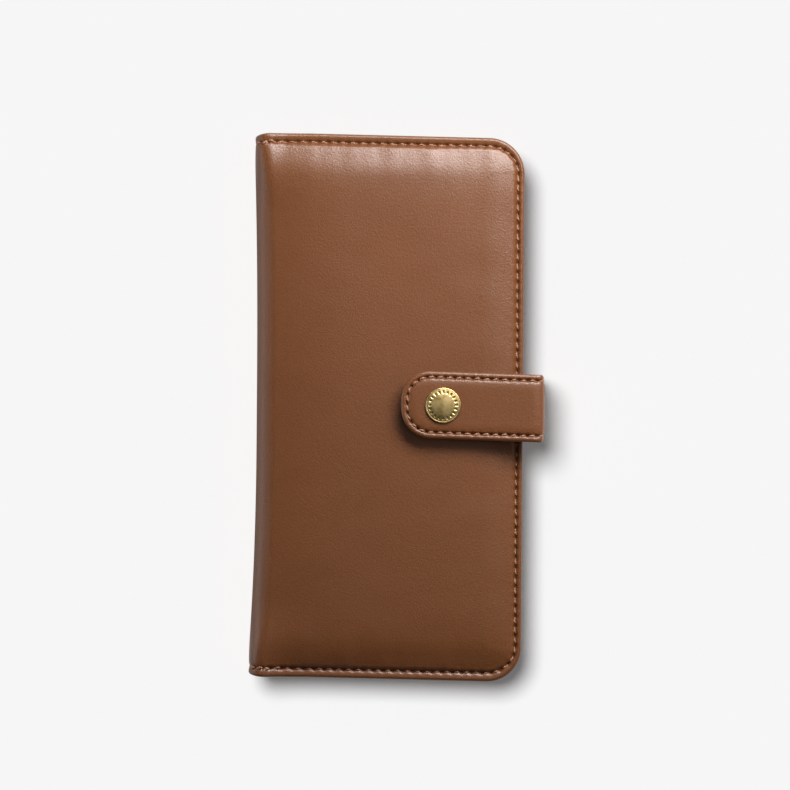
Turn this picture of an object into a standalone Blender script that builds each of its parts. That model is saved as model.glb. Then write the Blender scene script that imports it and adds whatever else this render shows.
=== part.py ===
"""Long wallet case with a phone pocket: two padded covers on a soft spine, shut by a snap strap.

The case lies closed on its back cover. Metres, +Z up. +X runs from the spine to the opening edge and
+Y along the case's length. The origin is the centre of the back cover's flat outer face.
"""

import math

import bmesh
import bpy

MM = 0.001
NAME = "wallet_case"

# Closed case
LENGTH = 194 * MM
WIDTH = 95 * MM
THICKNESS = 22 * MM
EDGE_X = WIDTH / 2
END_Y = LENGTH / 2
GAP = 0.3 * MM  # air kept between neighbouring pieces
CORNER = 12.5 * MM  # radius of the two corners at the opening edge
SPINE_CORNER = 2 * MM
ARC_STEPS = 8

# Cover layers, counted from the outer face inwards
LEATHER = 1.2 * MM
FOAM = 1.2 * MM
BOARD = 0.8 * MM
LINING = 0.6 * MM
COVER_X = -45 * MM  # where the covers start, beside the spine
BORDER = 3 * MM  # flat sewn border round the padded crown
BORDER_EDGE = 2.2 * MM  # the same border along the opening edge
BORDER_TOP = 2.9 * MM  # how far the border lies under the crown's face
COVER_DEPTH = 4.7 * MM  # outer face to the lining's inner face
CROWN_ROUND = 2.4 * MM
HOLLOW_INSET = BORDER + LEATHER + 0.4 * MM
LAYER_INSET = HOLLOW_INSET + GAP

# Spine and its two fold lines
FOLD_INSET = 0.8 * MM  # each fold axis lies this far inside the two outer faces it joins
FOLD_X = -EDGE_X + FOLD_INSET
SPINE_CLEAR = 3 * MM  # from an outer face to the stiff part of the spine
SPINE_LINING_CLEAR = 5 * MM

# Phone pocket on the back cover, open at its +Y end
POCKET_X = (-40 * MM, 37 * MM)
POCKET_Y = (-92 * MM, 90 * MM)
POCKET_WALL = 1.5 * MM
POCKET_DEPTH = 6.9 * MM
POCKET_PANEL = 0.8 * MM
NOTCH_R = 14 * MM

# Card side on the front cover
SHEET = 0.5 * MM
NOTE_X = (-43 * MM, 44 * MM)
NOTE_Y = 92 * MM
NOTE_CORNER = 8 * MM
CARD_STEP = 12 * MM
CARD_X = (-26 * MM, 43.5 * MM)
CARD_COLUMN = (1 * MM, 91 * MM)
CARD_CORNER = 6 * MM
WINDOW_X = (-10 * MM, 43.5 * MM)
WINDOW_RIM = 5 * MM

# Snap strap
STRAP_WIDTH = 24 * MM
STRAP_TIP_X = 4 * MM
STRAP_TIP_ROUND = 9 * MM
STRAP_OUT_X = 55 * MM  # outer face of the strap's upright part
STRAP_Y = 0.9 * MM  # the strap's middle line, a little above the case's
PLY = 0.7 * MM
CORE = 0.5 * MM
PLY_GAP = 0.25 * MM
STRAP = 2 * PLY + CORE + 2 * PLY_GAP
STRAP_LIFT = 2.6 * MM  # from the front cover's face to the strap's underside
STRAP_SEWN_X = 40 * MM
BEND_CLEAR = 1.6 * MM  # from a bend axis to the end of each ply

# Snap fastener, a standard 12.5 mm cap
SNAP_X = 19 * MM
CAP_R = 6.25 * MM
CAP_H = 1.4 * MM
CAP_POST_R = 1.5 * MM
POST_HOLE_R = 2 * MM
SOCKET_R = 5.5 * MM
SOCKET_HOLE_R = 2.4 * MM
SOCKET_H = 1.1 * MM
STUD_BASE_R = 4.2 * MM
STUD_BASE_H = 0.6 * MM
STUD_R = 1.7 * MM
STUD_H = 1.8 * MM
STUD_SHANK_R = 1.2 * MM
STUD_HOLE_R = 1.6 * MM
RIVET_R = 3.4 * MM
RIVET_H = 0.9 * MM
TURN_STEPS = 32

# Sewing thread
THREAD_R = 0.25 * MM
FINE_THREAD_R = 0.2 * MM
SEAM_INSET = 2.1 * MM
SEAM_INSET_EDGE = 1.4 * MM

BACK_INNER = COVER_DEPTH
FRONT_INNER = THICKNESS - COVER_DEPTH
POCKET_FLOOR = BACK_INNER + GAP
POCKET_TOP = POCKET_FLOOR + POCKET_DEPTH
STRAP_LOW_Z = BACK_INNER + GAP
STRAP_TOP_Z = THICKNESS + STRAP_LIFT
BEND_X = STRAP_OUT_X - STRAP / 2
LOWER_BEND_Z = STRAP_LOW_Z + STRAP / 2
UPPER_BEND_Z = STRAP_TOP_Z + STRAP / 2

COLOURS = {
    "leather": ((0.19, 0.085, 0.04), 0.5, 0.0),
    "lining": ((0.16, 0.1, 0.06), 0.9, 0.0),
    "board": ((0.4, 0.34, 0.26), 0.9, 0.0),
    "foam": ((0.8, 0.76, 0.62), 0.95, 0.0),
    "thread": ((0.55, 0.26, 0.13), 0.7, 0.0),
    "brass": ((0.42, 0.33, 0.17), 0.4, 1.0),
    "window": ((0.8, 0.84, 0.86), 0.15, 0.0),
}


def clear_scene():
    for obj in list(bpy.data.objects):
        bpy.data.objects.remove(obj, do_unlink=True)


def new_collection(name):
    collection = bpy.data.collections.new(name)
    bpy.context.scene.collection.children.link(collection)
    return collection


def material(name):
    found = bpy.data.materials.get(name)
    if found:
        return found
    colour, roughness, metallic = COLOURS[name]
    made = bpy.data.materials.new(name)
    made.use_nodes = True
    shader = made.node_tree.nodes["Principled BSDF"]
    shader.inputs["Base Color"].default_value = (*colour, 1)
    shader.inputs["Roughness"].default_value = roughness
    shader.inputs["Metallic"].default_value = metallic
    return made


def pivot(name, x, z, parent=None):
    """An empty on a bend's axis, which runs along Y."""
    empty = bpy.data.objects.new(name, None)
    empty.location = (x, 0, z)
    parts.objects.link(empty)
    if parent:
        attach(empty, parent)
    return empty


def attach(obj, parent):
    bpy.context.view_layer.update()
    obj.parent = parent
    obj.matrix_parent_inverse = parent.matrix_world.inverted()


def finish_part(obj, colour, parent):
    obj.data.materials.append(material(colour))
    parts.objects.link(obj)
    if parent:
        attach(obj, parent)
    return obj


def cutter(obj):
    obj.hide_render = True
    obj.display_type = "WIRE"
    cutters.objects.link(obj)
    return obj


def boolean(obj, other, operation="DIFFERENCE"):
    modifier = obj.modifiers.new(other.name, "BOOLEAN")
    modifier.operation = operation
    modifier.solver = "EXACT"
    modifier.object = other


def arc(cx, cy, radius, start, steps=ARC_STEPS):
    """A quarter turn, anticlockwise from the start angle."""
    if radius < 0.01 * MM:
        return [(cx, cy)]
    turns = [start + math.pi / 2 * i / steps for i in range(steps + 1)]
    return [(cx + radius * math.cos(a), cy + radius * math.sin(a)) for a in turns]


def rounded(x0, x1, y0, y1, low_x_radius=0.0, high_x_radius=0.0):
    """A rectangle with one radius at its low-X corners and another at its high-X corners."""
    a, b = low_x_radius, high_x_radius
    quarter = math.pi / 2
    return (
        arc(x1 - b, y1 - b, b, 0)
        + arc(x0 + a, y1 - a, a, quarter)
        + arc(x0 + a, y0 + a, a, 2 * quarter)
        + arc(x1 - b, y0 + b, b, 3 * quarter)
    )


def plate(name, outline, z0, z1):
    """A flat outline given its thickness, with the object's origin at its own centre."""
    xs = [p[0] for p in outline]
    ys = [p[1] for p in outline]
    cx = (min(xs) + max(xs)) / 2
    cy = (min(ys) + max(ys)) / 2
    curve = bpy.data.curves.new(name + "_outline", "CURVE")
    curve.dimensions = "2D"
    curve.fill_mode = "BOTH"
    curve.extrude = (z1 - z0) / 2
    spline = curve.splines.new("POLY")
    spline.points.add(len(outline) - 1)
    for point, (x, y) in zip(spline.points, outline):
        point.co = (x - cx, y - cy, 0, 1)
    spline.use_cyclic_u = True
    return curve_to_mesh(name, curve, (cx, cy, (z0 + z1) / 2))


def curve_to_mesh(name, curve, location):
    guide = bpy.data.objects.new(name + "_guide", curve)
    bpy.context.scene.collection.objects.link(guide)
    guide.location = location
    bpy.context.view_layer.update()
    depsgraph = bpy.context.evaluated_depsgraph_get()
    mesh = bpy.data.meshes.new_from_object(guide.evaluated_get(depsgraph))
    mesh.name = name
    mesh.materials.clear()
    obj = bpy.data.objects.new(name, mesh)
    obj.matrix_world = guide.matrix_world
    bpy.data.objects.remove(guide, do_unlink=True)
    shape = bmesh.new()
    shape.from_mesh(mesh)
    bmesh.ops.remove_doubles(shape, verts=shape.verts, dist=0.001 * MM)
    bmesh.ops.recalc_face_normals(shape, faces=shape.faces)
    shape.to_mesh(mesh)
    shape.free()
    return obj


def round_rim(obj, side, width, steps=3):
    """Rounds the edge loop at a plate's top (side 1) or bottom (side -1)."""
    shape = bmesh.new()
    shape.from_mesh(obj.data)
    level = side * max(v.co.z for v in shape.verts)
    rim = [e for e in shape.edges if all(abs(v.co.z - level) < 0.01 * MM for v in e.verts)]
    rim = [e for e in rim if abs(abs(e.calc_face_angle(0)) - math.pi / 2) < 0.1]
    bmesh.ops.bevel(shape, geom=rim, offset=width, segments=steps, profile=0.5, affect="EDGES")
    shape.to_mesh(obj.data)
    shape.free()
    return obj


def tube(name, points, radius):
    """Thread laid along a run of points."""
    curve = bpy.data.curves.new(name + "_run", "CURVE")
    curve.dimensions = "3D"
    curve.bevel_depth = radius
    curve.bevel_resolution = 2
    curve.use_fill_caps = True
    spline = curve.splines.new("POLY")
    spline.points.add(len(points) - 1)
    for point, place in zip(spline.points, points):
        point.co = (*place, 1)
    return curve_to_mesh(name, curve, (0, 0, 0))


def turned(name, profile, z):
    """A profile of (radius, height) turned about the snap's axis, with its height 0 at z."""
    mesh = bpy.data.meshes.new(name)
    vertices = [(r, 0, h) for r, h in profile]
    mesh.from_pydata(vertices, [(i, i + 1) for i in range(len(profile) - 1)], [])
    obj = bpy.data.objects.new(name, mesh)
    obj.location = (SNAP_X, STRAP_Y, z)
    screw = obj.modifiers.new("turn", "SCREW")
    screw.steps = TURN_STEPS
    screw.render_steps = TURN_STEPS
    screw.use_merge_vertices = True
    screw.merge_threshold = 0.01 * MM
    return obj


def drill(name, radius, z0, z1):
    """A cutter for a round hole on the snap's axis."""
    shape = bmesh.new()
    bmesh.ops.create_cone(
        shape,
        cap_ends=True,
        segments=TURN_STEPS,
        radius1=radius,
        radius2=radius,
        depth=z1 - z0,
    )
    mesh = bpy.data.meshes.new(name)
    shape.to_mesh(mesh)
    shape.free()
    obj = bpy.data.objects.new(name, mesh)
    obj.location = (SNAP_X, STRAP_Y, (z0 + z1) / 2)
    return cutter(obj)


def from_outer(side, depth):
    """Height of a layer at this depth under the outer face: side 1 is the front cover, -1 the back."""
    return THICKNESS - depth if side > 0 else depth


def cover_plate(name, side, depth0, depth1, inset, edge_inset, low_x, low_x_radius=0.0):
    """A layer of a cover, inset from the case's outline."""
    levels = sorted((from_outer(side, depth0), from_outer(side, depth1)))
    outline = rounded(
        low_x,
        EDGE_X - edge_inset,
        -END_Y + inset,
        END_Y - inset,
        low_x_radius,
        CORNER - edge_inset,
    )
    return plate(name, outline, *levels)


def cover_leather(name, side):
    """Outer skin: a flat sewn border with a padded crown standing out of it, hollow inside."""
    border = cover_plate(name, side, BORDER_TOP, COVER_DEPTH, 0, 0, COVER_X + 0.4 * MM, SPINE_CORNER)
    crown = cover_plate(
        name + "_crown",
        side,
        0,
        BORDER_TOP + 0.6 * MM,
        BORDER,
        BORDER_EDGE,
        COVER_X,
        SPINE_CORNER,
    )
    round_rim(crown, side, CROWN_ROUND)
    hollow = cover_plate(
        name + "_hollow",
        side,
        LEATHER,
        COVER_DEPTH + 1 * MM,
        HOLLOW_INSET,
        HOLLOW_INSET,
        COVER_X + LEATHER,
    )
    boolean(border, cutter(crown), "UNION")
    boolean(border, cutter(hollow))
    return border


def cover_layer(name, side, depth, thickness):
    """A sheet that lies in the skin's hollow."""
    return cover_plate(
        name, side, depth, depth + thickness, LAYER_INSET, LAYER_INSET, COVER_X + LEATHER + GAP
    )


def seam(name, side, depth, radius):
    """Thread round three sides of a cover, from the spine and back to it."""
    z = from_outer(side, depth - GAP - radius)
    start_x = COVER_X + 2 * MM
    x1 = EDGE_X - SEAM_INSET_EDGE
    y1 = END_Y - SEAM_INSET
    corner = CORNER - SEAM_INSET_EDGE
    quarter = math.pi / 2
    run = (
        [(start_x, -y1)]
        + arc(x1 - corner, -y1 + corner, corner, -quarter)
        + arc(x1 - corner, y1 - corner, corner, 0)
        + [(start_x, y1)]
    )
    return tube(name, [(x, y, z) for x, y in run], radius)


def build_cover(side, word, parent):
    finish_part(cover_leather(word + "_cover_leather", side), "leather", parent)
    depth = LEATHER + GAP
    finish_part(cover_layer(word + "_cover_foam", side, depth, FOAM), "foam", parent)
    depth += FOAM + GAP
    finish_part(cover_layer(word + "_cover_board", side, depth, BOARD), "board", parent)
    depth += BOARD + GAP
    finish_part(cover_layer(word + "_lining", side, depth, LINING), "lining", parent)
    thread = seam(word + "_edge_thread", side, BORDER_TOP, THREAD_R)
    finish_part(thread, "thread", parent)


def build_spine(parent):
    outer = rounded(-EDGE_X, -EDGE_X + LEATHER, -END_Y, END_Y)
    leather = plate("spine_leather", outer, SPINE_CLEAR, THICKNESS - SPINE_CLEAR)
    finish_part(leather, "leather", parent)
    x0 = -EDGE_X + LEATHER + GAP
    inner = rounded(x0, x0 + LINING, -END_Y + BORDER, END_Y - BORDER)
    lining = plate(
        "spine_lining", inner, SPINE_LINING_CLEAR, THICKNESS - SPINE_LINING_CLEAR
    )
    finish_part(lining, "lining", parent)


def build_phone_pocket():
    (x0, x1), (y0, y1) = POCKET_X, POCKET_Y
    wall = plate("phone_pocket_gusset", rounded(x0, x1, y0, y1), POCKET_FLOOR, POCKET_TOP)
    inside = rounded(x0 + POCKET_WALL, x1 - POCKET_WALL, y0 + POCKET_WALL, y1 + 5 * MM)
    room = plate("phone_room", inside, POCKET_FLOOR - 1 * MM, POCKET_TOP + 1 * MM)
    boolean(wall, cutter(room))
    finish_part(wall, "lining", None)
    panel_z = POCKET_TOP + GAP
    middle = (x0 + x1) / 2
    turns = [math.pi * i / 16 for i in range(17)]
    notch = [(middle + NOTCH_R * math.cos(a), y1 - NOTCH_R * math.sin(a)) for a in turns]
    outline = [(x1, y1)] + notch + [(x0, y1), (x0, y0), (x1, y0)]
    panel = plate("phone_pocket_panel", outline, panel_z, panel_z + POCKET_PANEL)
    finish_part(panel, "leather", None)
    inset = SEAM_INSET
    z = panel_z + POCKET_PANEL + GAP + FINE_THREAD_R
    run = [
        (x0 + inset, y1 - inset, z),
        (x0 + inset, y0 + inset, z),
        (x1 - inset, y0 + inset, z),
        (x1 - inset, y1 - inset, z),
    ]
    finish_part(tube("phone_pocket_thread", run, FINE_THREAD_R), "thread", None)


def build_card_side(parent):
    """A note pocket over the whole lining, two columns of card pockets and a window pocket."""
    z = FRONT_INNER - GAP
    note = rounded(NOTE_X[0], NOTE_X[1], -NOTE_Y, NOTE_Y, 0, NOTE_CORNER)
    finish_part(plate("note_pocket_panel", note, z - SHEET, z), "lining", parent)
    low, high = CARD_COLUMN
    level = z
    for number in (1, 2, 3):
        level -= SHEET + GAP
        x0 = CARD_X[0] + CARD_STEP * (number - 1)
        card = rounded(x0, CARD_X[1], -high, -low, 0, CARD_CORNER)
        pocket = plate(f"card_pocket_{number}", card, level - SHEET, level)
        finish_part(pocket, "leather", parent)
    level = z - SHEET - GAP
    card = rounded(CARD_X[0], CARD_X[1], low, high, 0, CARD_CORNER)
    finish_part(plate("card_pocket_4", card, level - SHEET, level), "leather", parent)
    level -= SHEET + GAP
    x0, x1 = WINDOW_X
    frame = plate("id_window_frame", rounded(x0, x1, low, high, 0, CARD_CORNER), level - SHEET, level)
    rim = WINDOW_RIM
    hole = rounded(x0 + rim, x1 - rim, low + rim, high - rim, 3 * MM, 3 * MM)
    cut = plate("id_window_hole", hole, level - 2 * SHEET, level + SHEET)
    boolean(frame, cutter(cut))
    finish_part(frame, "leather", parent)
    rim += GAP
    pane = rounded(x0 + rim, x1 - rim, low + rim, high - rim, 2.7 * MM, 2.7 * MM)
    finish_part(plate("id_window", pane, level - SHEET, level), "window", parent)


def strap_layers(base):
    """The strap's inner ply, core and outer ply, counted from its inner face."""
    core = base + PLY + PLY_GAP
    outer = core + CORE + PLY_GAP
    return {
        "inner": (base, base + PLY),
        "core": (core, core + CORE),
        "outer": (outer, outer + PLY),
    }


def strap_colour(layer):
    return "board" if layer == "core" else "leather"


def build_strap(side_pivot, top_pivot):
    half = STRAP_WIDTH / 2
    for layer, (a, b) in strap_layers(0).items():
        trim = 1.5 * MM if layer == "core" else 0.0
        low_y = STRAP_Y - half + trim
        high_y = STRAP_Y + half - trim
        colour = strap_colour(layer)
        root = rounded(STRAP_SEWN_X + trim, BEND_X - BEND_CLEAR, low_y, high_y, 1 * MM)
        high = STRAP_LOW_Z + STRAP
        sewn = plate("strap_root_" + layer, root, high - b, high - a)
        finish_part(sewn, colour, None)
        inner_x = STRAP_OUT_X - STRAP
        upright = plate(
            "strap_side_" + layer,
            rounded(inner_x + a, inner_x + b, low_y, high_y),
            LOWER_BEND_Z + BEND_CLEAR,
            UPPER_BEND_Z - BEND_CLEAR,
        )
        finish_part(upright, colour, side_pivot)
        tip = rounded(
            STRAP_TIP_X + trim, BEND_X - BEND_CLEAR, low_y, high_y, STRAP_TIP_ROUND - trim
        )
        flap = plate("strap_top_" + layer, tip, STRAP_TOP_Z + a, STRAP_TOP_Z + b)
        hole = drill(
            "strap_hole_" + layer,
            POST_HOLE_R,
            STRAP_TOP_Z - 1 * MM,
            STRAP_TOP_Z + STRAP + 1 * MM,
        )
        boolean(flap, hole)
        finish_part(flap, colour, top_pivot)
    inset = SEAM_INSET
    z = STRAP_TOP_Z + STRAP + GAP + FINE_THREAD_R
    x0 = STRAP_TIP_X + inset
    x1 = BEND_X - BEND_CLEAR - 1 * MM
    y0 = STRAP_Y - half + inset
    y1 = STRAP_Y + half - inset
    corner = STRAP_TIP_ROUND - inset
    run = (
        [(x1, y1)]
        + arc(x0 + corner, y1 - corner, corner, math.pi / 2)
        + arc(x0 + corner, y0 + corner, corner, math.pi)
        + [(x1, y0)]
    )
    thread = tube("strap_thread", [(x, y, z) for x, y in run], FINE_THREAD_R)
    finish_part(thread, "thread", top_pivot)


def build_snap(front_pivot, top_pivot):
    strap_face = STRAP_TOP_Z + STRAP
    rise = CAP_H - 0.5 * MM
    dome = [
        (CAP_R * math.cos(a), 0.5 * MM + rise * math.sin(a))
        for a in [math.pi / 2 * i / 6 for i in range(6, -1, -1)]
    ]
    dome[0] = (0, CAP_H)
    post_end = STRAP_TOP_Z - strap_face - GAP
    profile = dome + [(CAP_R, 0), (CAP_POST_R, 0), (CAP_POST_R, post_end), (0, post_end)]
    cap = turned("snap_cap", profile, strap_face + GAP)
    finish_part(cap, "brass", top_pivot)

    socket = [
        (SOCKET_HOLE_R, 0),
        (SOCKET_R - 0.6 * MM, 0),
        (SOCKET_R, -0.3 * MM),
        (SOCKET_R, -SOCKET_H + 0.3 * MM),
        (SOCKET_R - 0.8 * MM, -SOCKET_H),
        (SOCKET_HOLE_R, -SOCKET_H),
        (SOCKET_HOLE_R, 0),
    ]
    ring = turned("snap_socket", socket, STRAP_TOP_Z - GAP)
    finish_part(ring, "brass", top_pivot)

    seat = THICKNESS + GAP
    shank_end = -GAP - LEATHER
    head = [
        (0, STUD_H),
        (STUD_R - 0.3 * MM, STUD_H),
        (STUD_R, STUD_H - 0.3 * MM),
        (STUD_R - 0.2 * MM, STUD_BASE_H),
        (STUD_BASE_R - 0.4 * MM, STUD_BASE_H),
        (STUD_BASE_R, STUD_BASE_H / 3),
        (STUD_BASE_R, 0),
        (STUD_SHANK_R, 0),
        (STUD_SHANK_R, shank_end),
        (0, shank_end),
    ]
    finish_part(turned("snap_stud", head, seat), "brass", front_pivot)

    rivet_top = THICKNESS - LEATHER - GAP
    disc = [(0, 0), (RIVET_R, 0), (RIVET_R, -RIVET_H), (0, -RIVET_H)]
    finish_part(turned("snap_stud_rivet", disc, rivet_top), "brass", front_pivot)

    leather_hole = drill("stud_hole", STUD_HOLE_R, THICKNESS - 2 * LEATHER, THICKNESS + 1 * MM)
    boolean(bpy.data.objects["front_cover_leather"], leather_hole)
    foam_hole = drill(
        "rivet_room",
        RIVET_R + GAP,
        THICKNESS - LEATHER - FOAM - 3 * GAP,
        THICKNESS - LEATHER,
    )
    boolean(bpy.data.objects["front_cover_foam"], foam_hole)


def build():
    spine_pivot = pivot("spine_fold_axis", FOLD_X, FOLD_INSET)
    cover_pivot = pivot("cover_fold_axis", FOLD_X, THICKNESS - FOLD_INSET, spine_pivot)
    side_pivot = pivot("strap_root_bend_axis", BEND_X, LOWER_BEND_Z)
    top_pivot = pivot("strap_top_bend_axis", BEND_X, UPPER_BEND_Z, side_pivot)
    build_cover(-1, "back", None)
    build_cover(1, "front", cover_pivot)
    build_spine(spine_pivot)
    build_phone_pocket()
    build_card_side(cover_pivot)
    build_strap(side_pivot, top_pivot)
    build_snap(cover_pivot, top_pivot)


clear_scene()
parts = new_collection(NAME)
cutters = new_collection(NAME + "_cutters")
build()
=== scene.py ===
"""Looks of the long wallet case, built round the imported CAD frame. Metres, +Z up."""

import math

import bmesh
import bpy
import numpy as np
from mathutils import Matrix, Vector


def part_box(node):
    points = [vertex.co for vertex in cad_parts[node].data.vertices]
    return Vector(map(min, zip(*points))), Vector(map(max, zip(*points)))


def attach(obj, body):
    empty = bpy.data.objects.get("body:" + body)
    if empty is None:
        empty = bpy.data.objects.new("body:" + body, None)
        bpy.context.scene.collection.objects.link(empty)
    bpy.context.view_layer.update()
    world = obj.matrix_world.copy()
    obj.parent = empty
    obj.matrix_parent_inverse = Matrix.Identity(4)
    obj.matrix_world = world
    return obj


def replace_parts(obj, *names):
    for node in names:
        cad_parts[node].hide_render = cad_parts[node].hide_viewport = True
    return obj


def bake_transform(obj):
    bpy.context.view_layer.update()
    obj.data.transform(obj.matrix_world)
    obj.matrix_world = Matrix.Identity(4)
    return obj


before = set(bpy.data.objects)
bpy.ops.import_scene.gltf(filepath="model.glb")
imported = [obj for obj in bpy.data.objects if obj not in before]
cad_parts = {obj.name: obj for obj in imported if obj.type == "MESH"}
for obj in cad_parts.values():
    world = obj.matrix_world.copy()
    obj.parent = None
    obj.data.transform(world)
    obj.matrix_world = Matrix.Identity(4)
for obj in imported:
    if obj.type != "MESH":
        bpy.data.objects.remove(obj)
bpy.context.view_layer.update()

MM = 0.001
WELD = 0.002 * MM

# Places read from the frame
FRONT_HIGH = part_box("front_cover_leather")[1]
SPINE_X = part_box("spine_leather")[0].x
FORE_X = FRONT_HIGH.x
END_Y = FRONT_HIGH.y
TOP_Z = FRONT_HIGH.z
MID_Z = TOP_Z / 2
STRAP_LOW, STRAP_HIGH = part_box("strap_top_outer")
STRAP_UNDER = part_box("strap_top_inner")[0].z
STRAP_TOP = STRAP_HIGH.z
STRAP_TIP = STRAP_LOW.x
STRAP_HALF = (STRAP_HIGH.y - STRAP_LOW.y) / 2
STRAP_Y = (STRAP_HIGH.y + STRAP_LOW.y) / 2
STRAP_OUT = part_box("strap_side_outer")[1].x
STRAP_THICK = STRAP_TOP - STRAP_UNDER
ROOT_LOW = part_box("strap_root_outer")[0]
ROOT_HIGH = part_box("strap_root_inner")[1]
CAP_LOW, CAP_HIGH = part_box("snap_cap")
SNAP_X = (CAP_LOW.x + CAP_HIGH.x) / 2
CAP_R = (CAP_HIGH.x - CAP_LOW.x) / 2

# Cover skin
CORNER = 12.5 * MM
BORDER = 3.1 * MM  # outline to seam along the two ends
BORDER_EDGE = 2.3 * MM  # outline to seam along the opening edge
EDGE_ROUND = 0.95 * MM  # half the thickness of the turned edge
HEM = 5 * MM
HEM_CLEARANCE = 0.45 * MM  # the hem's inner edge to the note pocket
HEM_LIFT = 1.05 * MM  # the hem slopes up to the lining
LIP_RISE = 2.1 * MM  # the steep start of the crown, beside the seam
LIP_WIDTH = 12.5 * MM
FOAM_RISE = 1.9 * MM  # the long gentle part of the crown
SPINE_SHARE = 0.15  # how much of the lip's rise is left over the spine
SPINE_ROUND = 6.5 * MM
SPINE_BOW = 3.3 * MM  # how far the cover sinks towards the spine
SPINE_BOW_X = -12 * MM
BOW_START = 26 * MM
END_ROUND = 1.3 * MM  # how far the spine's two corners are rounded off
FLARE_TOP = 1.6 * MM
FLARE_BOTTOM = 2.9 * MM
FLARE_FROM = 10 * MM
LEAN = 0.018  # how far the case's ends are out of square
STRAP_LEAN = 0.028
FINE = 0.24 * MM
COARSE = 0.5 * MM
UNEVEN = 0.3 * MM
PUCKER = 0.34 * MM  # depth of the soft hollows beside the two end seams
PUCKER_GAP = 9.5 * MM
PUCKER_REACH = 17 * MM

# Stitches
PITCH = 3.5 * MM
STITCH_LENGTH = 1.88 * MM
STITCH_R = 0.34 * MM
STITCH_SLANT = 0.22
STRAP_PITCH = 0.94 * PITCH
STRAP_STITCH_LENGTH = 2.3 * MM
STRAP_STITCH_R = 0.38 * MM

# Strap
STRAP_CORNER = 10.5 * MM
STRAP_BORDER = 2.2 * MM
STRAP_EDGE_ROUND = 0.8 * MM
STRAP_FOLD_ROUND = 0.9 * MM
STRAP_SPLIT_Z = (STRAP_TOP + ROOT_LOW.z) / 2

rng = np.random.default_rng(11)


# ---------------------------------------------------------------- materials


def nodes_of(name):
    made = bpy.data.materials.new(name)
    made.use_nodes = True
    tree = made.node_tree
    return made, tree, tree.nodes["Principled BSDF"]


def add(tree, kind, **values):
    node = tree.nodes.new(kind)
    for key, value in values.items():
        if key in node.inputs:
            node.inputs[key].default_value = value
        else:
            setattr(node, key, value)
    return node


def noise(tree, scale, detail=3.0, roughness=0.5, stretch=None):
    place = add(tree, "ShaderNodeTexCoord")
    source = place.outputs["Object"]
    if stretch:
        mapping = add(tree, "ShaderNodeMapping")
        mapping.inputs["Scale"].default_value = stretch
        tree.links.new(source, mapping.inputs["Vector"])
        source = mapping.outputs["Vector"]
    node = add(tree, "ShaderNodeTexNoise", Scale=scale, Detail=detail, Roughness=roughness)
    tree.links.new(source, node.inputs["Vector"])
    return node.outputs["Fac"]


def cells(tree, scale):
    place = add(tree, "ShaderNodeTexCoord")
    node = add(tree, "ShaderNodeTexVoronoi", feature="F1", Scale=scale)
    tree.links.new(place.outputs["Object"], node.inputs["Vector"])
    return node.outputs["Distance"]


def ramp(tree, source, *stops):
    node = add(tree, "ShaderNodeValToRGB")
    elements = node.color_ramp.elements
    while len(elements) < len(stops):
        elements.new(0.5)
    for element, (place, colour) in zip(elements, stops):
        element.position = place
        element.color = (*colour, 1) if len(colour) == 3 else colour
    tree.links.new(source, node.inputs["Fac"])
    return node.outputs["Color"]


def spread(tree, source, low, high):
    node = add(tree, "ShaderNodeMapRange")
    node.inputs["To Min"].default_value = low
    node.inputs["To Max"].default_value = high
    tree.links.new(source, node.inputs["Value"])
    return node.outputs["Result"]


def combine(tree, first, second, operation="ADD", weight=None):
    node = add(tree, "ShaderNodeMath", operation=operation)
    tree.links.new(first, node.inputs[0])
    if weight is None:
        tree.links.new(second, node.inputs[1])
    else:
        scaled = add(tree, "ShaderNodeMath", operation="MULTIPLY")
        scaled.inputs[1].default_value = weight
        tree.links.new(second, scaled.inputs[0])
        tree.links.new(scaled.outputs[0], node.inputs[1])
    return node.outputs[0]


def bump(tree, shader, height, strength, distance):
    node = add(tree, "ShaderNodeBump", Strength=strength, Distance=distance)
    tree.links.new(height, node.inputs["Height"])
    tree.links.new(node.outputs["Normal"], shader.inputs["Normal"])
    return node


def leather_material(name, dark, mid, light, roughness=(0.34, 0.44)):
    made, tree, shader = nodes_of(name)
    blotch = noise(tree, 30, 3, 0.5)
    speckle = noise(tree, 2600, 3, 0.6)
    tone = combine(tree, speckle, blotch, "ADD", 0.3)
    colour = ramp(tree, tone, (0.4, dark), (0.65, mid), (0.9, light))
    tree.links.new(colour, shader.inputs["Base Color"])
    tree.links.new(
        spread(tree, noise(tree, 420, 4, 0.6), *roughness), shader.inputs["Roughness"]
    )
    shader.inputs["Specular IOR Level"].default_value = 0.44
    grain = cells(tree, 1500)
    fine = noise(tree, 3400, 4, 0.65)
    wrinkle = noise(tree, 520, 4, 0.6, (1.0, 2.6, 1.0))
    height = combine(tree, combine(tree, grain, fine, "ADD", 0.9), wrinkle, "ADD", 0.8)
    bump(tree, shader, height, 0.27, 0.00016)
    return made


def thread_material():
    made, tree, shader = nodes_of("copper_thread")
    fibre = noise(tree, 5200, 3, 0.6, (1.0, 0.35, 1.0))
    colour = ramp(
        tree, fibre, (0.3, (0.12, 0.04, 0.014)), (0.55, (0.27, 0.1, 0.038)), (0.8, (0.48, 0.21, 0.085))
    )
    tree.links.new(colour, shader.inputs["Base Color"])
    shader.inputs["Roughness"].default_value = 0.55
    shader.inputs["Sheen Weight"].default_value = 0.2
    bump(tree, shader, fibre, 0.5, 0.0001)
    return made


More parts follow.
